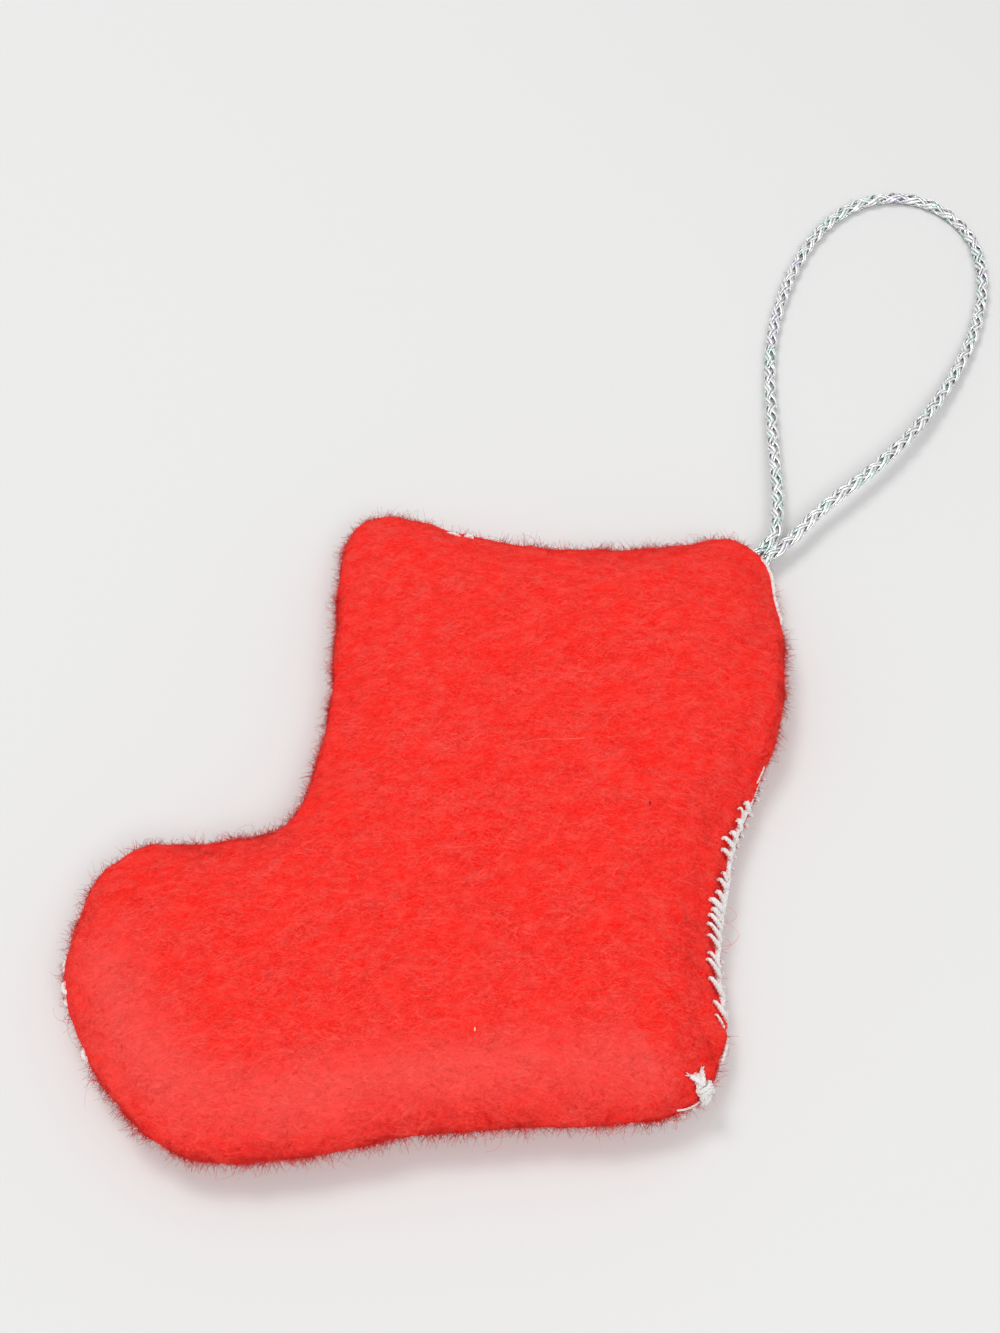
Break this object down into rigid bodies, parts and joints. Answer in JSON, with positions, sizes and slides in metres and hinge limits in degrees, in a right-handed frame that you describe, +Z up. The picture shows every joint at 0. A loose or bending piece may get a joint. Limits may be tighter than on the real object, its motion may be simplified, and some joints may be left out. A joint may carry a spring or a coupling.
{
  "type": "felt christmas ornament",
  "caption": "Stuffed felt boot sewn round its edge with white thread, with a braided silver cord loop for hanging it from a branch or hook.",
  "frame": {"origin": "on the surface that the boot lies on, under the middle of the boot's outline; the free cord loop is left out", "axes": "+Z up out of the plain back panel, +Y up the leg, +X towards the heel and -X towards the toe"},
  "size_m": [0.1491, 0.1898, 0.0107],
  "materials": {
    "red_felt": "fuzzy matt felt",
    "white_filling": "loose matt fibre",
    "white_thread": "soft twisted thread",
    "silver_braid": "shiny metallic braid"
  },
  "bodies": {
    "boot": {"back_panel": "red_felt", "front_panel": "red_felt", "filling": "white_filling", "hanger_knot": "silver_braid", "seam_thread_leg_front": "white_thread", "seam_thread_toe": "white_thread", "seam_thread_sole": "white_thread", "seam_thread_heel": "white_thread", "seam_thread_leg_back": "white_thread", "seam_thread_top": "white_thread", "finishing_knot": "white_thread"},
    "hanger": {"hanger_cord": "silver_braid"}
  },
  "joints": [
    {"name": "hanger_swing", "type": "hinge", "parent": "boot", "child": "hanger", "pos_m": [0.05124, 0.04873, 0.00295], "axis": [0.7071, -0.7071, 0], "range_deg": [0, 115]}
  ]
}
